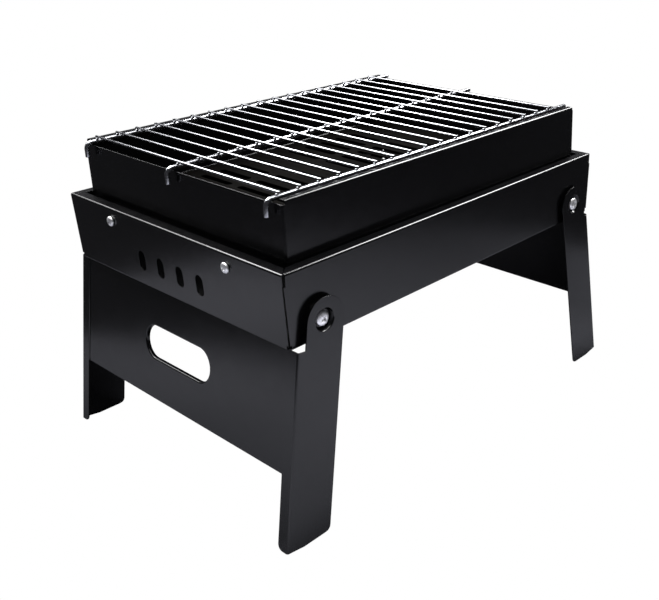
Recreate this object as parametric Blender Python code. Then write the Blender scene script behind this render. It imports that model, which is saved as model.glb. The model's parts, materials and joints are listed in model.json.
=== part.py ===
"""Folding camp grill: a charcoal tray on two folding leg frames, a lift-out fire box and a wire cooking grid.

Metres, +Z up. The origin is on the ground under the middle of the grill, with X along it and Y across it.
The grill is open for cooking. The tray, the fire box and the leg frames are bent and pressed from sheet.
"""

import math

import bmesh
import bpy
from mathutils import Matrix, Vector

# Overall sizes
TRAY_LENGTH = 0.350  # over the rim, along X
TRAY_WIDTH = 0.261  # over the rim, along Y
TRAY_HEIGHT = 0.0546
TRAY_FLOOR_HEIGHT = 0.1458  # underside of the tray above the ground
GRILL_BOX_RISE = 0.043  # the fire box's side walls above the tray rim

# Clearances
GAP = 0.0003  # between pieces that touch
THREAD_CLEARANCE = 0.0003
SCREW_HOLE_CLEARANCE = 0.0003
SLIP_CLEARANCE = 0.0008  # between the flanges of the two leg frames
FLANGE_CLEARANCE = 0.0017  # tray rim to the inside of the inner frame's flange
FOLDED_CLEARANCE = 0.0005  # hand slot rim to the tray's floor, folded
PANEL_CLEARANCE = 0.0010  # between the legs of the two frames, folded
NUT_SHELF_CLEARANCE = 0.0005  # end nut to the shelf over it
DISH_HEAD_CLEARANCE = 0.0010  # pivot screw head to the wall of its dish

# Tray
TRAY_SHEET = 0.0008
TRAY_END_FLARE = 0.0021  # how far each end wall leans out over its height
TRAY_SIDE_FLARE = 0.0010
TRAY_LIP = 0.0085
TRAY_BEND = 0.0016
SEAM_SETBACK = 0.0011  # wall edge to the corner of the blank
CORNER_RELIEF = 0.0026
CORNER_RELIEF_HEIGHT = 0.0022
RIM_NOTCH = 0.0025  # the long walls' corner notch at the rim
RIM_NOTCH_HEIGHT = 0.0090
LIP_MITRE_CLEARANCE = 0.0005
VENT_COUNT = 4
VENT_PITCH = 0.0241
VENT_WIDTH = 0.0088
VENT_HEIGHT = 0.0160
VENT_BELOW_RIM = 0.0339  # vent centre
END_SCREW_SPACING = 0.1428

# Fire box
BOX_SHEET = 0.0008
BOX_END_GAP = 0.01315  # rim of the tray to the box's end wall
BOX_SIDE_GAP = 0.0107
BOX_CORNER = 0.0022
BOX_BEND = 0.0014
BOX_LIP = 0.0050
BOX_FLANGE = 0.0120
BOX_BELOW_RIM = 0.0051  # underside of the box below the tray rim
END_WALL_DROP = 0.0030  # the end walls stop this far below the side walls

# Ledges that carry the fire box
LEDGE_SHEET = 0.0010
LEDGE_OVERHANG = 0.0090  # under the box's end wall
LEDGE_DROP = 0.0120
LEDGE_PAST_SCREW = 0.0240
LEDGE_BEND = 0.0014

# Charcoal grate
GRATE_THICKNESS = 0.0012
GRATE_LIP_CLEARANCE = 0.0007
GRATE_END_CLEARANCE = 0.0035
GRATE_SLOT_WIDTH = 0.0060
GRATE_SLOT_LENGTH = 0.0400
GRATE_SLOT_PITCH_X = 0.0190
GRATE_SLOT_PITCH_Y = 0.0500
GRATE_MARGIN = 0.0130

# Leg frames
LEG_SHEET = 0.0010
LEG_SPLAY = math.radians(8.9)
PIVOT_INSET = 0.0287  # from the tray's end
PIVOT_RISE = 0.0150  # above the tray's underside
FREE_EDGE_OFFSET = 0.0170  # pivot axis to the flanges' free edges
LEG_BEND = 0.0016
LEG_STRIP = 0.0100
PANEL_RECESS = 0.0008
PANEL_JOGGLE = 0.0008
PANEL_DEPTH = 0.0883  # height of the panel below the tray
EAR_RADIUS = 0.0160
EAR_SHIFT = 0.0010
FOOT_SQUARE_CUT = 0.0150
FOOT_CORNER = 0.0045
HANDLE_LENGTH = 0.0810
HANDLE_HEIGHT = 0.0260
HANDLE_RIM = 0.0032
HANDLE_ROLL = 0.0011
HANDLE_BELOW_TRAY = 0.0432  # centre of the hand slot
DISH_WALL_RUN = 0.0022  # from the edge of the dish's floor out to its rim

# Fasteners
PIVOT_THREAD = 0.0050
PIVOT_HEAD = 0.0106
PIVOT_HEAD_HEIGHT = 0.0028
PIVOT_NUT_FLATS = 0.0080
PIVOT_NUT_HEIGHT = 0.0045
END_THREAD = 0.0040
END_HEAD = 0.0078
END_HEAD_HEIGHT = 0.0024
END_NUT_FLATS = 0.0070
END_NUT_HEIGHT = 0.0032
THREAD_PAST_NUT = 0.0012
HEAD_LAND = 0.35  # share of a screw head's height that is a straight rim

# Cooking grid
RAIL_WIRE = 0.0037
ROD_WIRE = 0.0021
ROD_COUNT = 18
FIRST_ROD_INSET = 0.0054
LAST_ROD_INSET = 0.0243
RAIL_INSET = 0.0108  # outer rail to the outside of the box's side wall
ROD_PAST_RAIL = 0.0019
HOOK_DROP = 0.0110
HOOK_BEND = 0.0045  # middle of the wire; its centre stands over the wall's outer face
RAIL_PAST_WALL = 0.0012

# Levels and places worked out from the sizes above
RIM_Z = TRAY_FLOOR_HEIGHT + TRAY_HEIGHT
BOX_TOP_Z = RIM_Z + GRILL_BOX_RISE
BOX_BOTTOM_Z = RIM_Z - BOX_BELOW_RIM
END_WALL_TOP_Z = BOX_TOP_Z - END_WALL_DROP
BOX_HALF_X = TRAY_LENGTH / 2 - BOX_END_GAP
BOX_HALF_Y = TRAY_WIDTH / 2 - BOX_SIDE_GAP
PIVOT_X = TRAY_LENGTH / 2 - PIVOT_INSET
PIVOT_Z = TRAY_FLOOR_HEIGHT + PIVOT_RISE
END_TILT = math.atan(TRAY_END_FLARE / TRAY_HEIGHT)
SHELF_Z = BOX_BOTTOM_Z - GAP
END_SCREW_Z = SHELF_Z - LEDGE_SHEET - NUT_SHELF_CLEARANCE - END_NUT_FLATS / 2
INNER_FRAME_Y = TRAY_WIDTH / 2 + FLANGE_CLEARANCE + LEG_SHEET
OUTER_FRAME_Y = INNER_FRAME_Y + SLIP_CLEARANCE + LEG_SHEET
INNER_PANEL_OFFSET = PIVOT_RISE + FOLDED_CLEARANCE + HANDLE_RIM + PANEL_RECESS
OUTER_PANEL_OFFSET = INNER_PANEL_OFFSET + PANEL_CLEARANCE + LEG_SHEET
SIDE_WALL_Y_AT_PIVOT = TRAY_WIDTH / 2 - TRAY_SIDE_FLARE * (1 - PIVOT_RISE / TRAY_HEIGHT)
DISH_FLOOR_Y = SIDE_WALL_Y_AT_PIVOT + GAP + LEG_SHEET
DISH_FLOOR_RADIUS = PIVOT_HEAD / 2 + DISH_HEAD_CLEARANCE
DISH_RADIUS = DISH_FLOOR_RADIUS + DISH_WALL_RUN

BLACK = ("black_enamel", (0.016, 0.016, 0.018), 0.32, 0.0)
GRATE_BLACK = ("charcoal_grate_black", (0.012, 0.012, 0.012), 0.55, 0.0)
CHROME = ("chrome_wire", (0.78, 0.78, 0.79), 0.10, 1.0)
ZINC = ("zinc_plated_steel", (0.62, 0.63, 0.65), 0.25, 1.0)


def clear_scene():
    for item in list(bpy.data.objects):
        bpy.data.objects.remove(item, do_unlink=True)


def material(finish):
    name, colour, roughness, metallic = finish
    made = bpy.data.materials.get(name) or bpy.data.materials.new(name)
    made.use_nodes = True
    shader = made.node_tree.nodes["Principled BSDF"]
    shader.inputs["Base Color"].default_value = (*colour, 1.0)
    shader.inputs["Roughness"].default_value = roughness
    shader.inputs["Metallic"].default_value = metallic
    return made


def add_object(name, mesh, finish, place=(0, 0, 0), turn=None):
    piece = bpy.data.objects.new(name, mesh)
    bpy.context.scene.collection.objects.link(piece)
    if not mesh.materials:
        mesh.materials.append(material(finish))
    piece.location = place
    if turn is not None:
        piece.rotation_euler = turn.to_euler()
    return piece


def finish_mesh(bm, name, smooth_angle=math.radians(40)):
    mesh = bpy.data.meshes.new(name)
    bm.to_mesh(mesh)
    bm.free()
    mesh.shade_smooth()
    mesh.set_sharp_from_angle(angle=smooth_angle)
    return mesh


# Flat and bent sheet


def add_face(bm, points):
    return bm.faces.new([bm.verts.new(point) for point in points])


def add_flat(bm, outline, holes=()):
    """A flat piece of sheet with its holes, as triangles."""
    edges = []
    for loop in (outline, *holes):
        corners = [bm.verts.new(point) for point in loop]
        for first, second in zip(corners, corners[1:] + corners[:1]):
            edges.append(bm.edges.new((first, second)))
    bmesh.ops.triangle_fill(bm, use_beauty=True, use_dissolve=False, edges=edges)


def add_loft(bm, loops, closed=True):
    """Quads between loops of the same number of points."""
    rows = [[bm.verts.new(point) for point in loop] for loop in loops]
    count = len(rows[0])
    for upper, lower in zip(rows, rows[1:]):
        for index in range(count if closed else count - 1):
            after = (index + 1) % count
            bm.faces.new((upper[index], upper[after], lower[after], lower[index]))


def add_bend(bm, edge, corner, other_edge, steps=2):
    """The rounded strip between two flats, from edge to other_edge, round the line where they would meet."""
    rows = []
    for step in range(steps + 1):
        share = step / steps
        row = []
        for start, middle, end in zip(edge, corner, other_edge):
            start, middle, end = Vector(start), Vector(middle), Vector(end)
            weight = math.sqrt(0.5) * 2 * share * (1 - share)
            total = (1 - share) ** 2 + weight + share**2
            row.append((start * (1 - share) ** 2 + middle * weight + end * share**2) / total)
        rows.append(row)
    add_loft(bm, rows, closed=False)


def sheet_piece(bm, name, thickness, outward, finish, place=(0, 0, 0)):
    """Welds the outer faces of a bent sheet and thickens them inward. outward is the first face's way out."""
    bmesh.ops.remove_doubles(bm, verts=bm.verts[:], dist=1e-6)
    bmesh.ops.recalc_face_normals(bm, faces=bm.faces[:])
    bm.faces.ensure_lookup_table()
    if bm.faces[0].normal.dot(Vector(outward)) < 0:
        bmesh.ops.reverse_faces(bm, faces=bm.faces[:])
    piece = add_object(name, finish_mesh(bm, name), finish, place)
    solid = piece.modifiers.new("sheet_thickness", "SOLIDIFY")
    solid.thickness = thickness
    solid.offset = -1
    solid.use_even_offset = True
    return piece


def circle(radius, count, start=0.0):
    turn = 2 * math.pi / count
    return [(radius * math.cos(start + turn * i), radius * math.sin(start + turn * i)) for i in range(count)]


def arc(centre, radius, start, end, steps):
    points = []
    for step in range(steps + 1):
        angle = start + (end - start) * step / steps
        points.append((centre[0] + radius * math.cos(angle), centre[1] + radius * math.sin(angle)))
    return points


def stadium(length, height, steps=6):
    """A slot with round ends, its length along the first axis."""
    radius = height / 2
    straight = length / 2 - radius
    right = arc((straight, 0), radius, -math.pi / 2, math.pi / 2, steps)
    left = arc((-straight, 0), radius, math.pi / 2, 3 * math.pi / 2, steps)
    return right + left


# Lower tray


def end_wall_x(z):
    """Outer face of the tray's end wall at this height."""
    return TRAY_LENGTH / 2 - TRAY_END_FLARE * (RIM_Z - z) / TRAY_HEIGHT


def side_wall_y(z):
    """Outer face of the tray's long wall at this height."""
    return TRAY_WIDTH / 2 - TRAY_SIDE_FLARE * (RIM_Z - z) / TRAY_HEIGHT


def wall_outline(rim_half, floor_half, notched):
    """A tray wall's outline as (across, height), from one end of the floor bend round to the other."""
    low = TRAY_FLOOR_HEIGHT + TRAY_BEND
    step = low + CORNER_RELIEF_HEIGHT
    notch = RIM_Z - RIM_NOTCH_HEIGHT
    half = [
        (floor_half - CORNER_RELIEF, low),
        (floor_half - CORNER_RELIEF, step),
        (floor_half - SEAM_SETBACK, step),
    ]
    rim_end = rim_half - SEAM_SETBACK
    if notched:
        half += [(rim_end, notch), (rim_half - RIM_NOTCH, notch)]
        rim_end = rim_half - RIM_NOTCH
    half.append((rim_end, RIM_Z - TRAY_BEND))
    return half + [(-across, height) for across, height in reversed(half)]


def end_wall_holes():
    """Vent slots and screw holes of an end wall."""
    vent_z = RIM_Z - VENT_BELOW_RIM
    holes = []
    for index in range(VENT_COUNT):
        middle = (index - (VENT_COUNT - 1) / 2) * VENT_PITCH
        holes.append([(middle + v, vent_z + u) for u, v in stadium(VENT_HEIGHT, VENT_WIDTH, 4)])
    for side in (-1, 1):
        hole = circle(END_THREAD / 2 + SCREW_HOLE_CLEARANCE, 12)
        holes.append([(side * END_SCREW_SPACING / 2 + u, END_SCREW_Z + v) for u, v in hole])
    return holes


def pivot_holes():
    hole = circle(PIVOT_THREAD / 2 + SCREW_HOLE_CLEARANCE, 12)
    return [[(side * PIVOT_X + u, PIVOT_Z + v) for u, v in hole] for side in (-1, 1)]


def add_tray_wall(bm, outline, holes, on_wall, at, rim_half, floor_off):
    """One wall of the tray, with its bend at the floor, its bend at the rim and its inward lip.

    on_wall places (across, height) on the wall's outer face, and at places (across, distance out, height).
    """
    placed_holes = [[on_wall(*point) for point in hole] for hole in holes]
    add_flat(bm, [on_wall(*point) for point in outline], placed_holes)
    low, low_z = outline[0]
    high, high_z = outline[len(outline) // 2 - 1]
    inside = floor_off - TRAY_BEND
    add_bend(
        bm,
        [at(-low, inside, TRAY_FLOOR_HEIGHT), at(low, inside, TRAY_FLOOR_HEIGHT)],
        [at(-low, floor_off, TRAY_FLOOR_HEIGHT), at(low, floor_off, TRAY_FLOOR_HEIGHT)],
        [on_wall(-low, low_z), on_wall(low, low_z)],
    )
    lip_start = [at(-high, rim_half - TRAY_BEND, RIM_Z), at(high, rim_half - TRAY_BEND, RIM_Z)]
    add_bend(
        bm,
        [on_wall(-high, high_z), on_wall(high, high_z)],
        [at(-high, rim_half, RIM_Z), at(high, rim_half, RIM_Z)],
        lip_start,
    )
    lip_half = high - (TRAY_LIP - TRAY_BEND) - LIP_MITRE_CLEARANCE
    lip_end = [at(lip_half, rim_half - TRAY_LIP, RIM_Z), at(-lip_half, rim_half - TRAY_LIP, RIM_Z)]
    add_face(bm, lip_start + lip_end)


def build_tray():
    """One blank, folded up on four sides with open corner seams, then its rim folded in."""
    bm = bmesh.new()
    floor_x = end_wall_x(TRAY_FLOOR_HEIGHT)
    floor_y = side_wall_y(TRAY_FLOOR_HEIGHT)
    corner = [(floor_x - TRAY_BEND, floor_y - CORNER_RELIEF), (floor_x - CORNER_RELIEF, floor_y - TRAY_BEND)]
    floor = corner + [(-x, y) for x, y in reversed(corner)]
    floor += [(-x, -y) for x, y in corner] + [(x, -y) for x, y in reversed(corner)]
    add_face(bm, [(x, y, TRAY_FLOOR_HEIGHT) for x, y in floor])
    for side in (-1, 1):
        add_tray_wall(
            bm,
            wall_outline(TRAY_WIDTH / 2, floor_y, notched=False),
            end_wall_holes(),
            lambda across, z, side=side: (side * end_wall_x(z), across, z),
            lambda across, out, z, side=side: (side * out, across, z),
            TRAY_LENGTH / 2,
            floor_x,
        )
        add_tray_wall(
            bm,
            wall_outline(TRAY_LENGTH / 2, floor_x, notched=True),
            pivot_holes(),
            lambda across, z, side=side: (across, side * side_wall_y(z), z),
            lambda across, out, z, side=side: (across, side * out, z),
            TRAY_WIDTH / 2,
            floor_y,
        )
    sheet_piece(bm, "lower_tray", TRAY_SHEET, (0, 0, -1), BLACK)


# Fire box and what is in it


def rounded_rectangle(half_x, half_y, radius, steps=3):
    """Corner arcs of a rectangle, one after the other from the +X +Y corner."""
    points = []
    for quarter in range(4):
        turn = quarter * math.pi / 2
        sign_x = 1 if quarter in (0, 3) else -1
        sign_y = 1 if quarter in (0, 1) else -1
        centre = (sign_x * (half_x - radius), sign_y * (half_y - radius))
        points += arc(centre, radius, turn, turn + math.pi / 2, steps)
    return points


def build_fire_box():
    """Four walls with a bottom flange that carries the charcoal grate, open above and below."""
    bm = bmesh.new()
    levels = []
    mid_bend = BOX_BEND * (1 - math.sqrt(0.5))
    for inset, z in ((BOX_FLANGE, 0.0), (BOX_BEND, 0.0), (mid_bend, mid_bend), (0.0, BOX_BEND)):
        loop = rounded_rectangle(BOX_HALF_X - inset, BOX_HALF_Y - inset, BOX_CORNER)
        levels.append([(x, y, BOX_BOTTOM_Z + z) for x, y in loop])
    walls = rounded_rectangle(BOX_HALF_X, BOX_HALF_Y, BOX_CORNER)
    levels.append([(x, y, END_WALL_TOP_Z) for x, y in walls])
    add_loft(bm, levels)
    half = BOX_HALF_X - BOX_CORNER
    for side in (-1, 1):
        outside = side * BOX_HALF_Y
        inside = side * (BOX_HALF_Y - BOX_BEND)
        lip_end = side * (BOX_HALF_Y - BOX_LIP)
        wall_top = BOX_TOP_Z - BOX_BEND
        wall = [(-half, outside, END_WALL_TOP_Z), (half, outside, END_WALL_TOP_Z)]
        add_face(bm, wall + [(half, outside, wall_top), (-half, outside, wall_top)])
        lip_start = [(-half, inside, BOX_TOP_Z), (half, inside, BOX_TOP_Z)]
        add_bend(
            bm,
            [(-half, outside, wall_top), (half, outside, wall_top)],
            [(-half, outside, BOX_TOP_Z), (half, outside, BOX_TOP_Z)],
            lip_start,
        )
        add_face(bm, lip_start + [(half, lip_end, BOX_TOP_Z), (-half, lip_end, BOX_TOP_Z)])
    sheet_piece(bm, "fire_box", BOX_SHEET, (0, 0, -1), BLACK)


def count_that_fits(length, item, pitch):
    """How many items at this pitch fit in the length."""
    return int((length - item) / pitch) + 1


def build_charcoal_grate():
    """Slotted plate that lies on the fire box's bottom flange."""
    bm = bmesh.new()
    low = BOX_BOTTOM_Z + BOX_SHEET + GAP
    high = low + GRATE_THICKNESS
    half_x = BOX_HALF_X - BOX_SHEET - GRATE_END_CLEARANCE
    half_y = BOX_HALF_Y - BOX_LIP - GRATE_LIP_CLEARANCE
    outline = rounded_rectangle(half_x, half_y, BOX_CORNER)
    columns = count_that_fits(2 * (half_x - GRATE_MARGIN), GRATE_SLOT_WIDTH, GRATE_SLOT_PITCH_X)
    rows = count_that_fits(2 * (half_y - GRATE_MARGIN), GRATE_SLOT_LENGTH, GRATE_SLOT_PITCH_Y)
    slots = []
    for column in range(columns):
        for row in range(rows):
            x = (column - (columns - 1) / 2) * GRATE_SLOT_PITCH_X
            y = (row - (rows - 1) / 2) * GRATE_SLOT_PITCH_Y
            slots.append([(x + v, y + u) for u, v in stadium(GRATE_SLOT_LENGTH, GRATE_SLOT_WIDTH, 3)])
    add_flat(bm, [(x, y, low) for x, y in outline], [[(x, y, low) for x, y in slot] for slot in slots])
    add_flat(bm, [(x, y, high) for x, y in outline], [[(x, y, high) for x, y in slot] for slot in slots])
    for loop in (outline, *slots):
        add_loft(bm, [[(x, y, low) for x, y in loop], [(x, y, high) for x, y in loop]])
    bmesh.ops.remove_doubles(bm, verts=bm.verts[:], dist=1e-6)
    bmesh.ops.recalc_face_normals(bm, faces=bm.faces[:])
    add_object("charcoal_grate", finish_mesh(bm, "charcoal_grate"), GRATE_BLACK)


def build_ledge(name, side):
    """Angle screwed to the inside of the tray's end wall, whose shelf carries the fire box."""
    bm = bmesh.new()
    half = END_SCREW_SPACING / 2 + LEDGE_PAST_SCREW
    top = SHELF_Z - LEDGE_BEND
    low = SHELF_Z - LEDGE_DROP

    def on_wall(across, z):
        return (side * (end_wall_x(z) - (TRAY_SHEET + GAP) / math.cos(END_TILT)), across, z)

    outline = [(-half, low), (half, low), (half, top), (-half, top)]
    hole = circle(END_THREAD / 2 + SCREW_HOLE_CLEARANCE, 12)
    holes = []
    for end in (-1, 1):
        holes.append([on_wall(end * END_SCREW_SPACING / 2 + u, END_SCREW_Z + v) for u, v in hole])
    corner_x = on_wall(0, SHELF_Z)[0]
    shelf_start = corner_x - side * LEDGE_BEND
    shelf_end = side * (BOX_HALF_X - LEDGE_OVERHANG)
    shelf = [(shelf_start, -half, SHELF_Z), (shelf_start, half, SHELF_Z)]
    add_face(bm, shelf + [(shelf_end, half, SHELF_Z), (shelf_end, -half, SHELF_Z)])
    add_bend(
        bm,
        [on_wall(-half, top), on_wall(half, top)],
        [(corner_x, -half, SHELF_Z), (corner_x, half, SHELF_Z)],
        shelf,
    )
    add_flat(bm, [on_wall(*point) for point in outline], holes)
    sheet_piece(bm, name, LEDGE_SHEET, (0, 0, 1), BLACK)


# Leg frames


def leg_point(side, out, down, across):
    """A point of a leg frame, from its pivot axis: out towards the panel, down the leg, and across."""
    x = down * math.sin(LEG_SPLAY) + out * math.cos(LEG_SPLAY)
    z = out * math.sin(LEG_SPLAY) - down * math.cos(LEG_SPLAY)
    return (side * x, across, z)


def down_at(out, z):
    """How far down the leg this height lies, at this distance out."""
    return (PIVOT_Z - z + out * math.sin(LEG_SPLAY)) / math.cos(LEG_SPLAY)


def flange_outline(panel_offset, top, square_cut):
    """A leg's side flange with its ear, as (out, down), from the top of the bend round by the foot."""
    flat = panel_offset - LEG_BEND
    kink = panel_offset - FOOT_SQUARE_CUT
    toe_level = down_at(-FREE_EDGE_OFFSET, 0.0)
    toe_out = FOOT_CORNER - FREE_EDGE_OFFSET
    toe_centre = (toe_out, down_at(toe_out, 0.0) - FOOT_CORNER)
    points = [(flat, top), (flat, square_cut), (kink, down_at(kink, 0.0)), (toe_out, down_at(toe_out, 0.0))]
    toe = arc(toe_centre, FOOT_CORNER, math.pi / 2, math.pi, 4)
    points += [point for point in toe[1:] if point[1] < toe_level]
    ear_centre = (-EAR_SHIFT, 0.0)
    points += arc(ear_centre, EAR_RADIUS, math.pi, 2 * math.pi, 14)
    points.append((EAR_RADIUS - EAR_SHIFT, top))
    return points


def rolled_rim(recessed):
    """Loops of (across, down, out) from the panel's face round the roll and in to the slot's inner edge."""
    middle = down_at(recessed, TRAY_FLOOR_HEIGHT - HANDLE_BELOW_TRAY)
    loops = []
    for turn in (0, math.pi / 4, math.pi / 2):
        spread = HANDLE_ROLL * (1 - math.sin(turn))
        depth = HANDLE_ROLL * (1 - math.cos(turn))
        loop = stadium(HANDLE_LENGTH + 2 * spread, HANDLE_HEIGHT + 2 * spread)
        loops.append([(u, middle + v, recessed - depth) for u, v in loop])
    loops.append([(u, down, recessed - HANDLE_RIM) for u, down, out in loops[-1]])
    return loops


def build_leg_frame(name, side, panel_offset, half_width):
    """A panel with a hand slot, bent back at both edges into legs, with dished ears round the pivot screws."""
    bm = bmesh.new()
    top = down_at(panel_offset, TRAY_FLOOR_HEIGHT - GAP)
    square_cut = down_at(panel_offset - FOOT_SQUARE_CUT, 0.0)
    panel_end = top + PANEL_DEPTH / math.cos(LEG_SPLAY)
    strip_edge = half_width - LEG_STRIP
    panel_edge = strip_edge - PANEL_JOGGLE
    recessed = panel_offset - PANEL_RECESS

    def at(out, down, across):
        return leg_point(side, out, down, across)

    rim = [[at(out, down, across) for across, down, out in loop] for loop in rolled_rim(recessed)]
    panel = [(top, -panel_edge), (panel_end, -panel_edge), (panel_end, panel_edge), (top, panel_edge)]
    add_flat(bm, [at(recessed, down, across) for down, across in panel], [rim[0]])
    add_loft(bm, rim)

    outline = flange_outline(panel_offset, top, square_cut)
    inner_edge = panel_offset - LEG_BEND
    flat_edge = half_width - LEG_BEND
    dish_depth = half_width - DISH_FLOOR_Y
    dish = [(DISH_RADIUS, 0.0), (DISH_FLOOR_RADIUS, dish_depth)]
    dish.append((PIVOT_THREAD / 2 + SCREW_HOLE_CLEARANCE, dish_depth))
    for end in (-1, 1):
        strip = [(panel_offset, top, strip_edge), (panel_offset, panel_end, strip_edge)]
        corner = arc((square_cut - FOOT_CORNER, strip_edge + FOOT_CORNER), FOOT_CORNER, -math.pi / 2, 0, 3)
        strip += [(panel_offset, down, across) for down, across in corner]
        strip.append((panel_offset, square_cut, flat_edge))
        strip.append((panel_offset, top, flat_edge))
        add_face(bm, [at(out, down, end * across) for out, down, across in strip])
        joggle = [(panel_offset, top, strip_edge), (panel_offset, panel_end, strip_edge)]
        joggle += [(recessed, panel_end, panel_edge), (recessed, top, panel_edge)]
        add_face(bm, [at(out, down, end * across) for out, down, across in joggle])
        add_bend(
            bm,
            [at(panel_offset, down, end * flat_edge) for down in (top, square_cut)],
            [at(panel_offset, down, end * half_width) for down in (top, square_cut)],
            [at(inner_edge, down, end * half_width) for down in (top, square_cut)],
        )
        loops = []
        for radius, depth in dish:
            loops.append([at(u, v, end * (half_width - depth)) for u, v in circle(radius, 20)])
        add_flat(bm, [at(out, down, end * half_width) for out, down in outline], [loops[0]])
        add_loft(bm, loops)
    sheet_piece(bm, name, LEG_SHEET, leg_point(side, 1, 0, 0), BLACK, (side * PIVOT_X, 0, PIVOT_Z))


# Fasteners


def lathe_mesh(name, profile, sides):
    """A turned solid about Z from (radius, height) points, which start and end on the axis."""
    bm = bmesh.new()
    rings = []
    for radius, height in profile[1:-1]:
        rings.append([bm.verts.new((x, y, height)) for x, y in circle(radius, sides)])
    ends = [bm.verts.new((0, 0, profile[0][1])), bm.verts.new((0, 0, profile[-1][1]))]
    for upper, lower in zip(rings, rings[1:]):
        for index in range(sides):
            after = (index + 1) % sides
            bm.faces.new((upper[index], upper[after], lower[after], lower[index]))
    for centre, ring in zip(ends, (rings[0], rings[-1])):
        for index in range(sides):
            bm.faces.new((centre, ring[index], ring[(index + 1) % sides]))
    bmesh.ops.recalc_face_normals(bm, faces=bm.faces[:])
    return finish_mesh(bm, name)


def screw_mesh(name, head, head_height, thread, length):
    """Pan-head screw, the underside of its head at the origin and its thread down -Z."""
    radius = head / 2
    land = head_height * HEAD_LAND
    profile = [(0, head_height)]
    for x, z in arc((0, 0), 1, math.pi / 2, 0, 4)[1:]:
        profile.append((radius * x, land + (head_height - land) * z))
    profile += [(radius, 0), (thread / 2, 0), (thread / 2, -length), (0, -length)]
    return lathe_mesh(name, profile, 16)


def nut_mesh(name, flats, height, thread):
    """Hexagon nut standing on the origin, two of its flats facing along X."""
    bm = bmesh.new()
    outer = circle(flats / math.sqrt(3), 6, math.pi / 6)
    inner = circle(thread / 2 + THREAD_CLEARANCE, 12)
    for z in (0, height):
        add_flat(bm, [(x, y, z) for x, y in outer], [[(x, y, z) for x, y in inner]])
    for loop in (outer, inner):
        add_loft(bm, [[(x, y, 0) for x, y in loop], [(x, y, height) for x, y in loop]])
    bmesh.ops.remove_doubles(bm, verts=bm.verts[:], dist=1e-6)
    bmesh.ops.recalc_face_normals(bm, faces=bm.faces[:])
    return finish_mesh(bm, name)


def build_end_fasteners():
    """Screws and nuts that hold the ledges to the tray's end walls, square to the leaning walls."""
    stack = TRAY_SHEET + LEDGE_SHEET + 2 * GAP
    length = GAP + stack + END_NUT_HEIGHT + THREAD_PAST_NUT
    screw = screw_mesh("end_screw", END_HEAD, END_HEAD_HEIGHT, END_THREAD, length)
    nut = nut_mesh("end_nut", END_NUT_FLATS, END_NUT_HEIGHT, END_THREAD)
    for side, side_name in ((-1, "left"), (1, "right")):
        outward = Vector((side * math.cos(END_TILT), 0, -math.sin(END_TILT)))
        wall = Vector((side * end_wall_x(END_SCREW_Z), 0, END_SCREW_Z))
        turn = Matrix.Rotation(side * (math.pi / 2 + END_TILT), 4, "Y")
        for end, end_name in ((-1, "front"), (1, "back")):
            across = Vector((0, end * END_SCREW_SPACING / 2, 0))
            label = side_name + "_" + end_name
            add_object("end_screw_" + label, screw, CHROME, wall + outward * GAP + across, turn)
            inside = wall - outward * (stack + END_NUT_HEIGHT) + across
            add_object("end_nut_" + label, nut, ZINC, inside, turn)


def build_pivot_fasteners():
    """Screws through the dished ears and the tray's long walls, with nuts inside the tray.

    The nuts stand square to the screws, so they stay clear of the leaning wall by its lean over their width.
    """
    wall_lean = PIVOT_NUT_FLATS * TRAY_SIDE_FLARE / TRAY_HEIGHT
    head_seat = DISH_FLOOR_Y + GAP
    nut_seat = SIDE_WALL_Y_AT_PIVOT - TRAY_SHEET - GAP - wall_lean
    length = head_seat - nut_seat + PIVOT_NUT_HEIGHT + THREAD_PAST_NUT
    screw = screw_mesh("pivot_screw", PIVOT_HEAD, PIVOT_HEAD_HEIGHT, PIVOT_THREAD, length)
    nut = nut_mesh("pivot_nut", PIVOT_NUT_FLATS, PIVOT_NUT_HEIGHT, PIVOT_THREAD)
    for side, side_name in ((-1, "left"), (1, "right")):
        for end, end_name in ((-1, "front"), (1, "back")):
            label = side_name + "_" + end_name
            turn = Matrix.Rotation(-end * math.pi / 2, 4, "X")
            seat = (side * PIVOT_X, end * head_seat, PIVOT_Z)
            add_object("pivot_screw_" + label, screw, CHROME, seat, turn)
            inside = (side * PIVOT_X, end * (nut_seat - PIVOT_NUT_HEIGHT), PIVOT_Z)
            add_object("pivot_nut_" + label, nut, ZINC, inside, turn)


# Cooking grid


def wire_mesh(name, path, diameter, sides):
    """A wire along a path in the XZ plane, with cut ends."""
    bm = bmesh.new()
    points = [Vector((x, 0, z)) for x, z in path]
    rings = []
    for index, point in enumerate(points):
        before = points[max(index - 1, 0)]
        after = points[min(index + 1, len(points) - 1)]
        along = (after - before).normalized()
        normal = Vector((0, 1, 0)).cross(along)
        ring = []
        for u, v in circle(diameter / 2, sides):
            ring.append(bm.verts.new(point + Vector((0, 1, 0)) * u + normal * v))
        rings.append(ring)
    for upper, lower in zip(rings, rings[1:]):
        for index in range(sides):
            after = (index + 1) % sides
            bm.faces.new((upper[index], upper[after], lower[after], lower[index]))
    bm.faces.new(rings[0])
    bm.faces.new(rings[-1])
    bmesh.ops.recalc_face_normals(bm, faces=bm.faces[:])
    return finish_mesh(bm, name)


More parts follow.
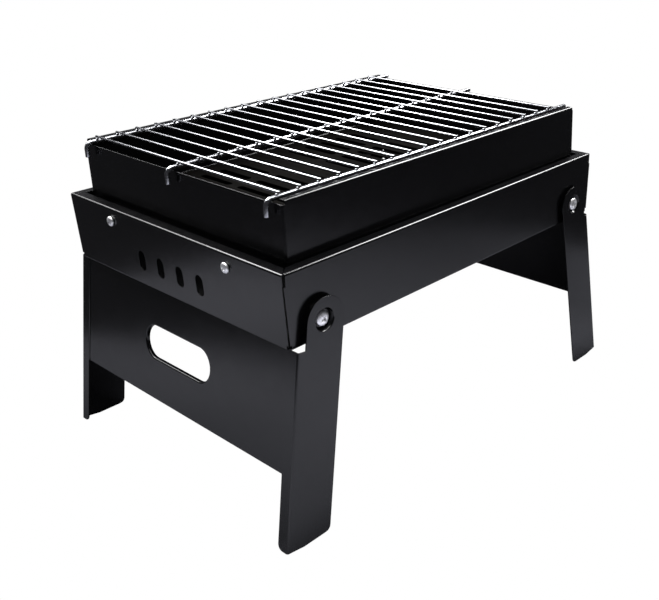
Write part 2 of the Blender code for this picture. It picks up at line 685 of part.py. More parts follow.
def build_cooking_grid():
    """Three rails that rest on the end walls and hook over one of them, with thin rods welded across."""
    rail_z = END_WALL_TOP_Z + GAP + RAIL_WIRE / 2
    rod_z = rail_z + RAIL_WIRE / 2 + GAP + ROD_WIRE / 2
    hook_x = -(BOX_HALF_X + HOOK_BEND)
    bend = arc((hook_x + HOOK_BEND, rail_z - HOOK_BEND), HOOK_BEND, math.pi, math.pi / 2, 6)
    path = [(hook_x, rail_z - HOOK_DROP)] + bend + [(BOX_HALF_X + RAIL_PAST_WALL, rail_z)]
    rail = wire_mesh("grid_rail", path, RAIL_WIRE, 10)
    rail_y = BOX_HALF_Y - RAIL_INSET
    for name, y in (("front", -rail_y), ("middle", 0), ("back", rail_y)):
        add_object("grid_rail_" + name, rail, CHROME, (0, y, 0))
    rod_half = rail_y + ROD_PAST_RAIL
    rod = wire_mesh("grid_rod", [(-rod_half, 0), (rod_half, 0)], ROD_WIRE, 8)
    first = -BOX_HALF_X + FIRST_ROD_INSET
    pitch = (BOX_HALF_X - LAST_ROD_INSET - first) / (ROD_COUNT - 1)
    quarter_turn = Matrix.Rotation(math.pi / 2, 4, "Z")
    for index in range(ROD_COUNT):
        place = (first + index * pitch, 0, rod_z)
        add_object(f"grid_rod_{index + 1:02d}", rod, CHROME, place, quarter_turn)


clear_scene()
build_tray()
build_fire_box()
build_charcoal_grate()
build_ledge("end_ledge_left", -1)
build_ledge("end_ledge_right", 1)
build_leg_frame("leg_frame_left", -1, OUTER_PANEL_OFFSET, OUTER_FRAME_Y)
build_leg_frame("leg_frame_right", 1, INNER_PANEL_OFFSET, INNER_FRAME_Y)
build_end_fasteners()
build_pivot_fasteners()
build_cooking_grid()
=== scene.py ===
"""Folding camp grill in black enamelled sheet steel, with a chromed wire cooking grid.

Metres, +Z up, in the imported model's own frame. The script follows the grill as it is put together.
"""

import json
import math

import bmesh
import bpy
from mathutils import Matrix, Vector


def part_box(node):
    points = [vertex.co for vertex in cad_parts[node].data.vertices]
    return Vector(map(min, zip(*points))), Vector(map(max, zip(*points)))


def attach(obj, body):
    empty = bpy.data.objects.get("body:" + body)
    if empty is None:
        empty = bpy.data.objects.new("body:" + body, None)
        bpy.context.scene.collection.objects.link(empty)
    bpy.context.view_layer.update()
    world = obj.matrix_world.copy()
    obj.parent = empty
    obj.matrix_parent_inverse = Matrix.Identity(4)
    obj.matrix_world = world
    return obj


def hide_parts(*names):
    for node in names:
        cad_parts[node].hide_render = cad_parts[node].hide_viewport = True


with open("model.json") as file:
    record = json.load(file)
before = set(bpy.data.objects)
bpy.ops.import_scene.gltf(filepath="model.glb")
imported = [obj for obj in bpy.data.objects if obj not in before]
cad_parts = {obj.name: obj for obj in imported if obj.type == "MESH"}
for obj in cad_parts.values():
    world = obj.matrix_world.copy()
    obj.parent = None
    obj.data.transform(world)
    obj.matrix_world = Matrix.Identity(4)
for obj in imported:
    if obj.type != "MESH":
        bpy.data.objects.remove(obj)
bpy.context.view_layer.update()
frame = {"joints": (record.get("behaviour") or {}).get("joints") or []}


# Lower tray
# The charcoal tray is one blank of 0.8 mm steel, folded up on four sides with open corner seams. Its rim
# is folded inward, its end walls are pierced with four vents, and the whole is dipped and fired in enamel.

TRAY_SHEET = 0.0008
TRAY_BEND = 0.0016
TRAY_LIP = 0.0085
TRAY_END_FLARE = 0.0021
TRAY_SIDE_FLARE = 0.0010
SEAM_SETBACK = 0.0011
CORNER_RELIEF = 0.0026
CORNER_RELIEF_HEIGHT = 0.0022
RIM_NOTCH = 0.0025
RIM_NOTCH_HEIGHT = 0.0090
LIP_MITRE_CLEARANCE = 0.0005
VENT_COUNT = 4
VENT_PITCH = 0.0241
VENT_WIDTH = 0.0088
VENT_HEIGHT = 0.0160
VENT_BELOW_RIM = 0.0339
END_SCREW_HOLE = 0.0046
PIVOT_HOLE = 0.0056
BEND_STEPS = 6
EDGE_ROUNDING = 0.00016  # enamel rounds every cut edge

tray_low, tray_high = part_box("lower_tray")
tray_height = tray_high.z - tray_low.z
rim_z = tray_high.z
pivot_joint = frame["joints"][0]
pivot_x = abs(pivot_joint["pos_m"][0])
pivot_z = pivot_joint["pos_m"][2]
screw_low, screw_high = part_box("end_screw_left_front")
end_screw_y = abs(screw_low.y + screw_high.y) / 2
ledge_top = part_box("end_ledge_left")[1].z
END_SCREW_BELOW_SHELF = 0.0050
end_screw_z = ledge_top - END_SCREW_BELOW_SHELF


def from_hex(code):
    """Linear RGBA of an sRGB hex colour."""
    channels = [int(code[start : start + 2], 16) / 255 for start in (1, 3, 5)]
    linear = [c / 12.92 if c <= 0.04045 else ((c + 0.055) / 1.055) ** 2.4 for c in channels]
    return (*linear, 1.0)


def add_node(tree, kind, links=None, **settings):
    """Adds a shader node. Settings are its own, and links feed its sockets with values or other sockets."""
    made = tree.nodes.new(kind)
    for name, value in settings.items():
        setattr(made, name, value)
    for name, value in (links or {}).items():
        if isinstance(value, bpy.types.NodeSocket):
            tree.links.new(value, made.inputs[name])
        else:
            made.inputs[name].default_value = value
    return made


def new_finish(name):
    """A new material, its node tree and its shader."""
    finish = bpy.data.materials.new(name)
    finish.use_nodes = True
    return finish, finish.node_tree, finish.node_tree.nodes["Principled BSDF"]


# Vitreous enamel on sheet steel, dipped and fired: black glass about 0.15 mm thick. It is a deep black with
# soft reflections, a fine orange peel, rare pinholes, and the slow waves of the thin sheet under it.
ENAMEL_PEEL = 0.0021  # width of one dimple of the orange peel
ENAMEL_PINHOLE = 0.0026  # spacing of the pinholes, coarser than real so that they show
ENAMEL_CLOUD = 0.0350
SHEET_WAVE = 0.0550

enamel, tree, shader = new_finish("black_vitreous_enamel")
place = add_node(tree, "ShaderNodeTexCoord").outputs["Object"]
cloud = add_node(tree, "ShaderNodeTexNoise", {"Vector": place, "Scale": 1 / ENAMEL_CLOUD, "Detail": 3.0})
shade = add_node(tree, "ShaderNodeMix", {"Factor": cloud.outputs["Fac"]}, data_type="RGBA")
shade.inputs["A"].default_value = from_hex("#040405")
shade.inputs["B"].default_value = from_hex("#070708")
tree.links.new(shade.outputs["Result"], shader.inputs["Base Color"])
smear = add_node(tree, "ShaderNodeTexNoise", {"Vector": place, "Scale": 1 / (ENAMEL_CLOUD / 3), "Detail": 5.0})
gloss = add_node(
    tree, "ShaderNodeMapRange", {"Value": smear.outputs["Fac"], "From Min": 0.3, "From Max": 0.7}
)
gloss.inputs["To Min"].default_value = 0.19
gloss.inputs["To Max"].default_value = 0.23
tree.links.new(gloss.outputs["Result"], shader.inputs["Roughness"])
wave = add_node(tree, "ShaderNodeTexNoise", {"Vector": place, "Scale": 1 / SHEET_WAVE, "Detail": 1.0})
peel = add_node(tree, "ShaderNodeTexNoise", {"Vector": place, "Scale": 1 / ENAMEL_PEEL, "Detail": 2.0})
spots = add_node(tree, "ShaderNodeTexVoronoi", {"Vector": place, "Scale": 1 / ENAMEL_PINHOLE})
pinhole = add_node(
    tree, "ShaderNodeMapRange", {"Value": spots.outputs["Distance"], "From Min": 0.04, "From Max": 0.10}
)
bump = add_node(tree, "ShaderNodeBump", {"Height": wave.outputs["Fac"], "Strength": 1.0})
bump.inputs["Distance"].default_value = 0.00012
bump = add_node(
    tree,
    "ShaderNodeBump",
    {"Height": peel.outputs["Fac"], "Strength": 1.0, "Distance": 0.000008, "Normal": bump.outputs["Normal"]},
)
bump = add_node(
    tree,
    "ShaderNodeBump",
    {"Height": pinhole.outputs["Result"], "Strength": 1.0, "Normal": bump.outputs["Normal"]},
)
bump.inputs["Distance"].default_value = 0.00001
tree.links.new(bump.outputs["Normal"], shader.inputs["Normal"])
shader.inputs["IOR"].default_value = 1.5
shader.inputs["Specular IOR Level"].default_value = 0.35


def add_piece(name, mesh, finish, body, cad_node, placed=None):
    """A piece of the grill in its place, on its body, for the CAD node of the same thing."""
    piece = bpy.data.objects.new(name, mesh)
    bpy.context.scene.collection.objects.link(piece)
    if not mesh.materials:
        mesh.materials.append(finish)
    if placed is not None:
        piece.matrix_world = placed
    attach(piece, body)
    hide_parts(cad_node)
    return piece


def finish_mesh(bm, name, merge=1e-6, smooth_angle=math.radians(35)):
    """A smooth mesh with its points welded and its faces turned out."""
    bmesh.ops.remove_doubles(bm, verts=bm.verts[:], dist=merge)
    bmesh.ops.recalc_face_normals(bm, faces=bm.faces[:])
    mesh = bpy.data.meshes.new(name)
    bm.to_mesh(mesh)
    bm.free()
    mesh.shade_smooth()
    mesh.set_sharp_from_angle(angle=smooth_angle)
    return mesh


def round_edges(piece, width, segments=2):
    """Rounds a piece's sharp edges and keeps its flats flat."""
    rounding = piece.modifiers.new("edge_rounding", "BEVEL")
    rounding.width = width
    rounding.segments = segments
    rounding.limit_method = "ANGLE"
    rounding.angle_limit = math.radians(45)
    rounding.use_clamp_overlap = False
    flats = piece.modifiers.new("flat_faces", "WEIGHTED_NORMAL")
    flats.keep_sharp = False
    return piece


def thicken(piece, thickness):
    """Gives a sheet its thickness inward and rounds its cut edges."""
    solid = piece.modifiers.new("sheet_thickness", "SOLIDIFY")
    solid.thickness = thickness
    solid.offset = -1
    solid.use_even_offset = True
    return round_edges(piece, EDGE_ROUNDING)


def face_out(bm, outward):
    """Welds a sheet's outer faces and turns them all the way that the first one should face."""
    bmesh.ops.remove_doubles(bm, verts=bm.verts[:], dist=1e-6)
    bmesh.ops.recalc_face_normals(bm, faces=bm.faces[:])
    bm.faces.ensure_lookup_table()
    if bm.faces[0].normal.dot(Vector(outward)) < 0:
        bmesh.ops.reverse_faces(bm, faces=bm.faces[:])


def sheet_mesh(bm, name, outward):
    """The outer side of a bent sheet as a mesh."""
    face_out(bm, outward)
    mesh = bpy.data.meshes.new(name)
    bm.to_mesh(mesh)
    bm.free()
    mesh.shade_smooth()
    return mesh


def add_face(bm, points):
    return bm.faces.new([bm.verts.new(point) for point in points])


def add_flat(bm, outline, holes=()):
    """A flat piece of sheet with its holes."""
    edges = []
    for loop in (outline, *holes):
        corners = [bm.verts.new(point) for point in loop]
        for first, second in zip(corners, corners[1:] + corners[:1]):
            edges.append(bm.edges.new((first, second)))
    bmesh.ops.triangle_fill(bm, use_beauty=True, use_dissolve=False, edges=edges)


def add_loft(bm, loops, closed=True):
    """Quads between loops of the same number of points."""
    rows = [[bm.verts.new(point) for point in loop] for loop in loops]
    count = len(rows[0])
    for upper, lower in zip(rows, rows[1:]):
        for index in range(count if closed else count - 1):
            after = (index + 1) % count
            bm.faces.new((upper[index], upper[after], lower[after], lower[index]))


def add_bend(bm, edge, corner, other_edge, steps=BEND_STEPS):
    """The rounded strip between two flats, round the line where they would meet."""
    rows = []
    for step in range(steps + 1):
        share = step / steps
        row = []
        for start, middle, end in zip(edge, corner, other_edge):
            start, middle, end = Vector(start), Vector(middle), Vector(end)
            weight = math.sqrt(0.5) * 2 * share * (1 - share)
            total = (1 - share) ** 2 + weight + share**2
            row.append((start * (1 - share) ** 2 + middle * weight + end * share**2) / total)
        rows.append(row)
    add_loft(bm, rows, closed=False)


def circle(radius, count, start=0.0):
    turn = 2 * math.pi / count
    return [(radius * math.cos(start + turn * i), radius * math.sin(start + turn * i)) for i in range(count)]


def arc(centre, radius, start, end, steps):
    points = []
    for step in range(steps + 1):
        angle = start + (end - start) * step / steps
        points.append((centre[0] + radius * math.cos(angle), centre[1] + radius * math.sin(angle)))
    return points


def stadium(length, height, steps=10):
    """A slot with round ends, its length along the first axis."""
    radius = height / 2
    straight = length / 2 - radius
    right = arc((straight, 0), radius, -math.pi / 2, math.pi / 2, steps)
    left = arc((-straight, 0), radius, math.pi / 2, 3 * math.pi / 2, steps)
    return right + left


def end_wall_x(z):
    return tray_high.x - TRAY_END_FLARE * (rim_z - z) / tray_height


def side_wall_y(z):
    return tray_high.y - TRAY_SIDE_FLARE * (rim_z - z) / tray_height


def wall_outline(rim_half, floor_half, notched):
    """A tray wall's outline as (across, height), with its relief at the floor and its notch at the rim."""
    low = tray_low.z + TRAY_BEND
    step = low + CORNER_RELIEF_HEIGHT
    notch = rim_z - RIM_NOTCH_HEIGHT
    half = [
        (floor_half - CORNER_RELIEF, low),
        (floor_half - CORNER_RELIEF, step),
        (floor_half - SEAM_SETBACK, step),
    ]
    rim_end = rim_half - SEAM_SETBACK
    if notched:
        half += [(rim_end, notch), (rim_half - RIM_NOTCH, notch)]
        rim_end = rim_half - RIM_NOTCH
    half.append((rim_end, rim_z - TRAY_BEND))
    return half + [(-across, height) for across, height in reversed(half)]


def end_wall_holes():
    vent_z = rim_z - VENT_BELOW_RIM
    holes = []
    for index in range(VENT_COUNT):
        middle = (index - (VENT_COUNT - 1) / 2) * VENT_PITCH
        holes.append([(middle + v, vent_z + u) for u, v in stadium(VENT_HEIGHT, VENT_WIDTH)])
    for side in (-1, 1):
        hole = circle(END_SCREW_HOLE / 2, 24)
        holes.append([(side * end_screw_y + u, end_screw_z + v) for u, v in hole])
    return holes


def pivot_holes():
    hole = circle(PIVOT_HOLE / 2, 24)
    return [[(side * pivot_x + u, pivot_z + v) for u, v in hole] for side in (-1, 1)]


def add_tray_wall(bm, outline, holes, on_wall, at, rim_half, floor_off):
    """One wall with its bend at the floor, its bend at the rim and its inward lip.

    on_wall places (across, height) on the wall, and at places (across, distance out, height).
    """
    placed_holes = [[on_wall(*point) for point in hole] for hole in holes]
    add_flat(bm, [on_wall(*point) for point in outline], placed_holes)
    low, low_z = outline[0]
    high, high_z = outline[len(outline) // 2 - 1]
    inside = floor_off - TRAY_BEND
    floor_z = tray_low.z
    add_bend(
        bm,
        [at(-low, inside, floor_z), at(low, inside, floor_z)],
        [at(-low, floor_off, floor_z), at(low, floor_off, floor_z)],
        [on_wall(-low, low_z), on_wall(low, low_z)],
    )
    lip_start = [at(-high, rim_half - TRAY_BEND, rim_z), at(high, rim_half - TRAY_BEND, rim_z)]
    add_bend(
        bm,
        [on_wall(-high, high_z), on_wall(high, high_z)],
        [at(-high, rim_half, rim_z), at(high, rim_half, rim_z)],
        lip_start,
    )
    lip_half = high - (TRAY_LIP - TRAY_BEND) - LIP_MITRE_CLEARANCE
    lip_end = [at(lip_half, rim_half - TRAY_LIP, rim_z), at(-lip_half, rim_half - TRAY_LIP, rim_z)]
    add_face(bm, lip_start + lip_end)


bm = bmesh.new()
floor_x = end_wall_x(tray_low.z)
floor_y = side_wall_y(tray_low.z)
corner = [(floor_x - TRAY_BEND, floor_y - CORNER_RELIEF), (floor_x - CORNER_RELIEF, floor_y - TRAY_BEND)]
floor_outline = corner + [(-x, y) for x, y in reversed(corner)]
floor_outline += [(-x, -y) for x, y in corner] + [(x, -y) for x, y in reversed(corner)]
add_face(bm, [(x, y, tray_low.z) for x, y in floor_outline])
for side in (-1, 1):
    add_tray_wall(
        bm,
        wall_outline(tray_high.y, floor_y, notched=False),
        end_wall_holes(),
        lambda across, z, side=side: (side * end_wall_x(z), across, z),
        lambda across, out, z, side=side: (side * out, across, z),
        tray_high.x,
        floor_x,
    )
    add_tray_wall(
        bm,
        wall_outline(tray_high.x, floor_x, notched=True),
        pivot_holes(),
        lambda across, z, side=side: (across, side * side_wall_y(z), z),
        lambda across, out, z, side=side: (across, side * out, z),
        tray_high.y,
        floor_y,
    )
tray_mesh = sheet_mesh(bm, "charcoal_tray", (0, 0, -1))
tray = add_piece("charcoal_tray", tray_mesh, enamel, "tray", "lower_tray")
thicken(tray, TRAY_SHEET)


# Fire box
# The open box that stands in the tray is a wrapped and folded strip of the same enamelled sheet. Its foot
# is turned in to carry the charcoal grate, and its long walls stand higher and end in a folded lip.

BOX_SHEET = 0.0008
BOX_CORNER = 0.0022
BOX_BEND = 0.0014
BOX_LIP = 0.0050
BOX_FLANGE = 0.0120
END_WALL_DROP = 0.0030

box_low, box_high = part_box("fire_box")
end_wall_top = box_high.z - END_WALL_DROP


def rounded_rectangle(half_x, half_y, radius, steps=8):
    """Corner arcs of a rectangle, one after the other from the +X +Y corner."""
    points = []
    for quarter in range(4):
        turn = quarter * math.pi / 2
        sign_x = 1 if quarter in (0, 3) else -1
        sign_y = 1 if quarter in (0, 1) else -1
        centre = (sign_x * (half_x - radius), sign_y * (half_y - radius))
        points += arc(centre, radius, turn, turn + math.pi / 2, steps)
    return points


bm = bmesh.new()
levels = [(BOX_FLANGE, 0.0)]
for x, z in arc((BOX_BEND, BOX_BEND), BOX_BEND, -math.pi / 2, -math.pi, BEND_STEPS):
    levels.append((x, z))
levels.append((0.0, end_wall_top - box_low.z))
loops = []
for inset, rise in levels:
    loop = rounded_rectangle(box_high.x - inset, box_high.y - inset, BOX_CORNER)
    loops.append([(x, y, box_low.z + rise) for x, y in loop])
add_loft(bm, loops)
straight = box_high.x - BOX_CORNER
for side in (-1, 1):
    outside = side * box_high.y
    inside = side * (box_high.y - BOX_BEND)
    wall_top = box_high.z - BOX_BEND
    wall = [(-straight, outside, end_wall_top), (straight, outside, end_wall_top)]
    add_face(bm, wall + [(straight, outside, wall_top), (-straight, outside, wall_top)])
    lip_start = [(-straight, inside, box_high.z), (straight, inside, box_high.z)]
    add_bend(
        bm,
        [(-straight, outside, wall_top), (straight, outside, wall_top)],
        [(-straight, outside, box_high.z), (straight, outside, box_high.z)],
        lip_start,
    )
    lip_end = side * (box_high.y - BOX_LIP)
    add_face(bm, lip_start + [(straight, lip_end, box_high.z), (-straight, lip_end, box_high.z)])
box_mesh = sheet_mesh(bm, "fire_box_walls", (0, 0, -1))
fire_box = add_piece("fire_box_walls", box_mesh, enamel, "fire_box", "fire_box")
thicken(fire_box, BOX_SHEET)


# Charcoal grate
# A flat steel plate punched with rows of slots lies on the fire box's turned-in foot. It is painted with
# matt black heat-proof paint, which stays rough and a little brown, and its black is deepened with painted shade.

GRATE_CORNER = 0.0022
GRATE_SLOT_WIDTH = 0.0060
GRATE_SLOT_LENGTH = 0.0400
GRATE_SLOT_PITCH_X = 0.0190
GRATE_SLOT_PITCH_Y = 0.0500
GRATE_MARGIN = 0.0130

# Baked silicone paint, sprayed: matt, with a fine sandy grain and brownish-black patches.
PAINT_GRIT = 0.0009
PAINT_PATCH = 0.0200

# Partly painted shade: the plate's black is far darker than the paint's own and reflects almost nothing, standing
# in for the shade inside the fire box.
grate_paint_and_shade, tree, shader = new_finish("heatproof_paint_and_painted_shade")
place = add_node(tree, "ShaderNodeTexCoord").outputs["Object"]
patch = add_node(tree, "ShaderNodeTexNoise", {"Vector": place, "Scale": 1 / PAINT_PATCH, "Detail": 4.0})
shade = add_node(tree, "ShaderNodeMix", {"Factor": patch.outputs["Fac"]}, data_type="RGBA")
shade.inputs["A"].default_value = from_hex("#030303")
shade.inputs["B"].default_value = from_hex("#070605")
tree.links.new(shade.outputs["Result"], shader.inputs["Base Color"])
rough = add_node(tree, "ShaderNodeMapRange", {"Value": patch.outputs["Fac"]})
rough.inputs["To Min"].default_value = 0.62
rough.inputs["To Max"].default_value = 0.80
tree.links.new(rough.outputs["Result"], shader.inputs["Roughness"])
grit = add_node(tree, "ShaderNodeTexNoise", {"Vector": place, "Scale": 1 / PAINT_GRIT, "Detail": 3.0})
bump = add_node(tree, "ShaderNodeBump", {"Height": grit.outputs["Fac"], "Strength": 1.0, "Distance": 0.00005})
tree.links.new(bump.outputs["Normal"], shader.inputs["Normal"])
shader.inputs["Specular IOR Level"].default_value = 0.01

grate_low, grate_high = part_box("charcoal_grate")


def count_that_fits(length, item, pitch):
    return int((length - item) / pitch) + 1


bm = bmesh.new()
outline = rounded_rectangle(grate_high.x, grate_high.y, GRATE_CORNER)
columns = count_that_fits(2 * (grate_high.x - GRATE_MARGIN), GRATE_SLOT_WIDTH, GRATE_SLOT_PITCH_X)
rows = count_that_fits(2 * (grate_high.y - GRATE_MARGIN), GRATE_SLOT_LENGTH, GRATE_SLOT_PITCH_Y)
slots = []
for column in range(columns):
    for row in range(rows):
        x = (column - (columns - 1) / 2) * GRATE_SLOT_PITCH_X
        y = (row - (rows - 1) / 2) * GRATE_SLOT_PITCH_Y
        slots.append([(x + v, y + u) for u, v in stadium(GRATE_SLOT_LENGTH, GRATE_SLOT_WIDTH, 6)])
outline, *slots = [[(x, y, grate_low.z) for x, y in loop] for loop in (outline, *slots)]
add_flat(bm, outline, slots)
grate_mesh = sheet_mesh(bm, "slotted_grate", (0, 0, -1))
grate = add_piece(
    "slotted_grate", grate_mesh, grate_paint_and_shade, "charcoal_grate", "charcoal_grate"
)
thicken(grate, grate_high.z - grate_low.z)


# End ledges
# Two short angles of 1 mm sheet are screwed inside the tray's end walls, and the fire box stands on them.

LEDGE_SHEET = 0.0010
LEDGE_BEND = 0.0014
LEDGE_GAP = 0.0003

end_tilt = math.atan(TRAY_END_FLARE / tray_height)


def ledge_mesh(name, side, low, high):
    bm = bmesh.new()
    top = high.z - LEDGE_BEND
    half = high.y

    def on_wall(across, z):
        return (side * (end_wall_x(z) - (TRAY_SHEET + LEDGE_GAP) / math.cos(end_tilt)), across, z)

    hole = circle(END_SCREW_HOLE / 2, 24)
    holes = []
    for end in (-1, 1):
        holes.append([on_wall(end * end_screw_y + u, end_screw_z + v) for u, v in hole])
    corner_x = on_wall(0, high.z)[0]
    shelf_start = corner_x - side * LEDGE_BEND
    shelf_end = side * min(abs(low.x), abs(high.x))
    shelf = [(shelf_start, -half, high.z), (shelf_start, half, high.z)]
    add_face(bm, shelf + [(shelf_end, half, high.z), (shelf_end, -half, high.z)])
    add_bend(
        bm,
        [on_wall(-half, top), on_wall(half, top)],
        [(corner_x, -half, high.z), (corner_x, half, high.z)],
        shelf,
    )
    outline = [(-half, low.z), (half, low.z), (half, top), (-half, top)]
    add_flat(bm, [on_wall(*point) for point in outline], holes)
    return sheet_mesh(bm, name, (0, 0, 1))


for side, side_name in ((-1, "left"), (1, "right")):
    node = "end_ledge_" + side_name
    mesh = ledge_mesh("ledge_" + side_name, side, *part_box(node))
    ledge = add_piece("ledge_" + side_name, mesh, enamel, "tray", node)
    thicken(ledge, LEDGE_SHEET)


# Leg frames
# Each frame is one pressed panel of 1 mm sheet with a rolled hand slot. Both edges are bent back into legs
# with round ears, dished round the pivot screws. The left frame is the wider, so the two fold together.

LEG_SHEET = 0.0010
LEG_BEND = 0.0016
LEG_SPLAY = math.radians(8.9)
LEG_STRIP = 0.0100
LEG_TOP_GAP = 0.0003
FREE_EDGE_OFFSET = 0.0170
PANEL_RECESS = 0.0008
PANEL_JOGGLE = 0.0008
PANEL_DEPTH = 0.0883
EAR_RADIUS = 0.0160
EAR_SHIFT = 0.0010
FOOT_SQUARE_CUT = 0.0150
FOOT_CORNER = 0.0045
HANDLE_LENGTH = 0.0810
HANDLE_HEIGHT = 0.0260
HANDLE_RIM = 0.0032
HANDLE_ROLL = 0.0011
HANDLE_BELOW_TRAY = 0.0432
DISH_RADIUS = 0.0085
DISH_FLOOR_RADIUS = 0.0063
DISH_STEPS = 8
JOGGLE_STEPS = 4
PANEL_OFFSET = {"left": 0.0215, "right": 0.0195}

wall_y_at_pivot = side_wall_y(pivot_z)
dish_floor_y = wall_y_at_pivot + LEG_TOP_GAP + LEG_SHEET


def leg_point(side, out, down, across):
    """A point of a leg frame, from its pivot axis: out towards the panel, down the leg, and across."""
    x = down * math.sin(LEG_SPLAY) + out * math.cos(LEG_SPLAY)
    z = out * math.sin(LEG_SPLAY) - down * math.cos(LEG_SPLAY)
    return (side * x, across, z)


def down_at(out, z):
    """How far down the leg this height lies, at this distance out."""
    return (pivot_z - z + out * math.sin(LEG_SPLAY)) / math.cos(LEG_SPLAY)


def flange_outline(panel_offset, top, square_cut):
    """A leg's side flange with its ear, as (out, down), from the top of the bend round by the foot."""
    flat = panel_offset - LEG_BEND
    kink = panel_offset - FOOT_SQUARE_CUT
    toe_level = down_at(-FREE_EDGE_OFFSET, 0.0)
    toe_out = FOOT_CORNER - FREE_EDGE_OFFSET
    toe_centre = (toe_out, down_at(toe_out, 0.0) - FOOT_CORNER)
    points = [(flat, top), (flat, square_cut), (kink, down_at(kink, 0.0)), (toe_out, down_at(toe_out, 0.0))]
    toe = arc(toe_centre, FOOT_CORNER, math.pi / 2, math.pi, 8)
    points += [point for point in toe[1:] if point[1] < toe_level]
    points += arc((-EAR_SHIFT, 0.0), EAR_RADIUS, math.pi, 2 * math.pi, 36)
    points.append((EAR_RADIUS - EAR_SHIFT, top))
    return points


def rolled_rim(recessed):
    """Loops of (across, down, out) from the panel's face round the roll and in to the slot's inner edge."""
    middle = down_at(recessed, tray_low.z - HANDLE_BELOW_TRAY)
    loops = []
    for step in range(BEND_STEPS + 1):
        turn = math.pi / 2 * step / BEND_STEPS
        spread = HANDLE_ROLL * (1 - math.sin(turn))
        depth = HANDLE_ROLL * (1 - math.cos(turn))
        loop = stadium(HANDLE_LENGTH + 2 * spread, HANDLE_HEIGHT + 2 * spread, 16)
        loops.append([(u, middle + v, recessed - depth) for u, v in loop])
    loops.append([(u, down, recessed - HANDLE_RIM) for u, down, out in loops[-1]])
    return loops


def dish_profile(depth):
    """(radius, depth) from the dish's rim down its soft wall to the edge of its floor."""
    points = []
    for step in range(DISH_STEPS + 1):
        share = step / DISH_STEPS
        soft = share * share * (3 - 2 * share)
        points.append((DISH_RADIUS + (DISH_FLOOR_RADIUS - DISH_RADIUS) * share, depth * soft))
    return points


def leg_frame_mesh(name, side, panel_offset, half_width):
    bm = bmesh.new()
    top = down_at(panel_offset, tray_low.z - LEG_TOP_GAP)
    square_cut = down_at(panel_offset - FOOT_SQUARE_CUT, 0.0)
    panel_end = top + PANEL_DEPTH / math.cos(LEG_SPLAY)
    strip_edge = half_width - LEG_STRIP
    panel_edge = strip_edge - PANEL_JOGGLE
    recessed = panel_offset - PANEL_RECESS

    def at(out, down, across):
        return leg_point(side, out, down, across)

    rim = [[at(out, down, across) for across, down, out in loop] for loop in rolled_rim(recessed)]
    panel = [(top, -panel_edge), (panel_end, -panel_edge), (panel_end, panel_edge), (top, panel_edge)]
    add_flat(bm, [at(recessed, down, across) for down, across in panel], [rim[0]])
    add_loft(bm, rim)

    outline = flange_outline(panel_offset, top, square_cut)
    inner_edge = panel_offset - LEG_BEND
    flat_edge = half_width - LEG_BEND
    dish = dish_profile(half_width - dish_floor_y)
    dish.append((PIVOT_HOLE / 2, half_width - dish_floor_y))
    for end in (-1, 1):
        strip = [(panel_offset, top, strip_edge), (panel_offset, panel_end, strip_edge)]
        foot_centre = (square_cut - FOOT_CORNER, strip_edge + FOOT_CORNER)
        foot_corner = arc(foot_centre, FOOT_CORNER, -math.pi / 2, 0, BEND_STEPS)
        strip += [(panel_offset, down, across) for down, across in foot_corner]
        strip.append((panel_offset, square_cut, flat_edge))
        strip.append((panel_offset, top, flat_edge))
        add_face(bm, [at(out, down, end * across) for out, down, across in strip])
        joggle = []
        for step in range(JOGGLE_STEPS + 1):
            share = step / JOGGLE_STEPS
            soft = share * share * (3 - 2 * share)
            out = panel_offset - PANEL_RECESS * soft
            across = end * (strip_edge - PANEL_JOGGLE * share)
            joggle.append([at(out, top, across), at(out, panel_end, across)])
        add_loft(bm, joggle, closed=False)
        add_bend(
            bm,
            [at(panel_offset, down, end * flat_edge) for down in (top, square_cut)],
            [at(panel_offset, down, end * half_width) for down in (top, square_cut)],
            [at(inner_edge, down, end * half_width) for down in (top, square_cut)],
        )
        loops = []
        for radius, depth in dish:
            loops.append([at(u, v, end * (half_width - depth)) for u, v in circle(radius, 48)])
        add_flat(bm, [at(out, down, end * half_width) for out, down in outline], [loops[0]])
        add_loft(bm, loops)
    return sheet_mesh(bm, name, leg_point(side, 1, 0, 0))


for side, side_name in ((-1, "left"), (1, "right")):
    node = "leg_frame_" + side_name
    mesh = leg_frame_mesh("legs_" + side_name, side, PANEL_OFFSET[side_name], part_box(node)[1].y)
    on_pivot = Matrix.Translation((side * pivot_x, 0, pivot_z))
    legs = add_piece("legs_" + side_name, mesh, enamel, side_name + "_legs", node, on_pivot)
    thicken(legs, LEG_SHEET)


# Screws and nuts
# Pan-head machine screws with a cross recess, bright plated, and plain hexagon nuts, zinc plated. M5 screws
# are the legs' pivots, and M4 screws hold the ledges. The recess is punched and the threads are rolled.

CROSS_WIDTH = 0.17  # of the head's diameter
CROSS_LENGTH = 0.56
CROSS_DEPTH = 0.62  # of the head's height
CROSS_TAPER = 0.50
HEAD_LAND = 0.35
SCREW_TURN = math.radians(17)
CROSS_MOUTH = 1.15  # the recess's arms widen to its mouth and narrow to its floor
CROSS_FLOOR = 0.7
HEAD_EDGE = 0.00012
SOFT_EDGE = 0.00007
NECK = 0.98  # of the thread's diameter, under the head
THREAD_SIDES = 24
THREAD_DEPTH = 0.54  # of the pitch
THREAD_RINGS = 5  # in one pitch
CREST_FLAT = 0.9  # the share of the depth that is cut
THREAD_POINT = 0.4  # the share of the depth that the last turn tapers by
NUT_CHAMFER = math.radians(30)
NUT_CHAMFER_START = 0.97  # of the distance to the flats
NUT_FACE = 0.94
NUT_LEAD = 0.4  # of the pitch

# Bright zinc over steel, barrel plated: near-white metal with fine scratches from tumbling and faint clouds.
PLATE_CLOUD = 0.0030
PLATE_SCRATCH = 0.00035

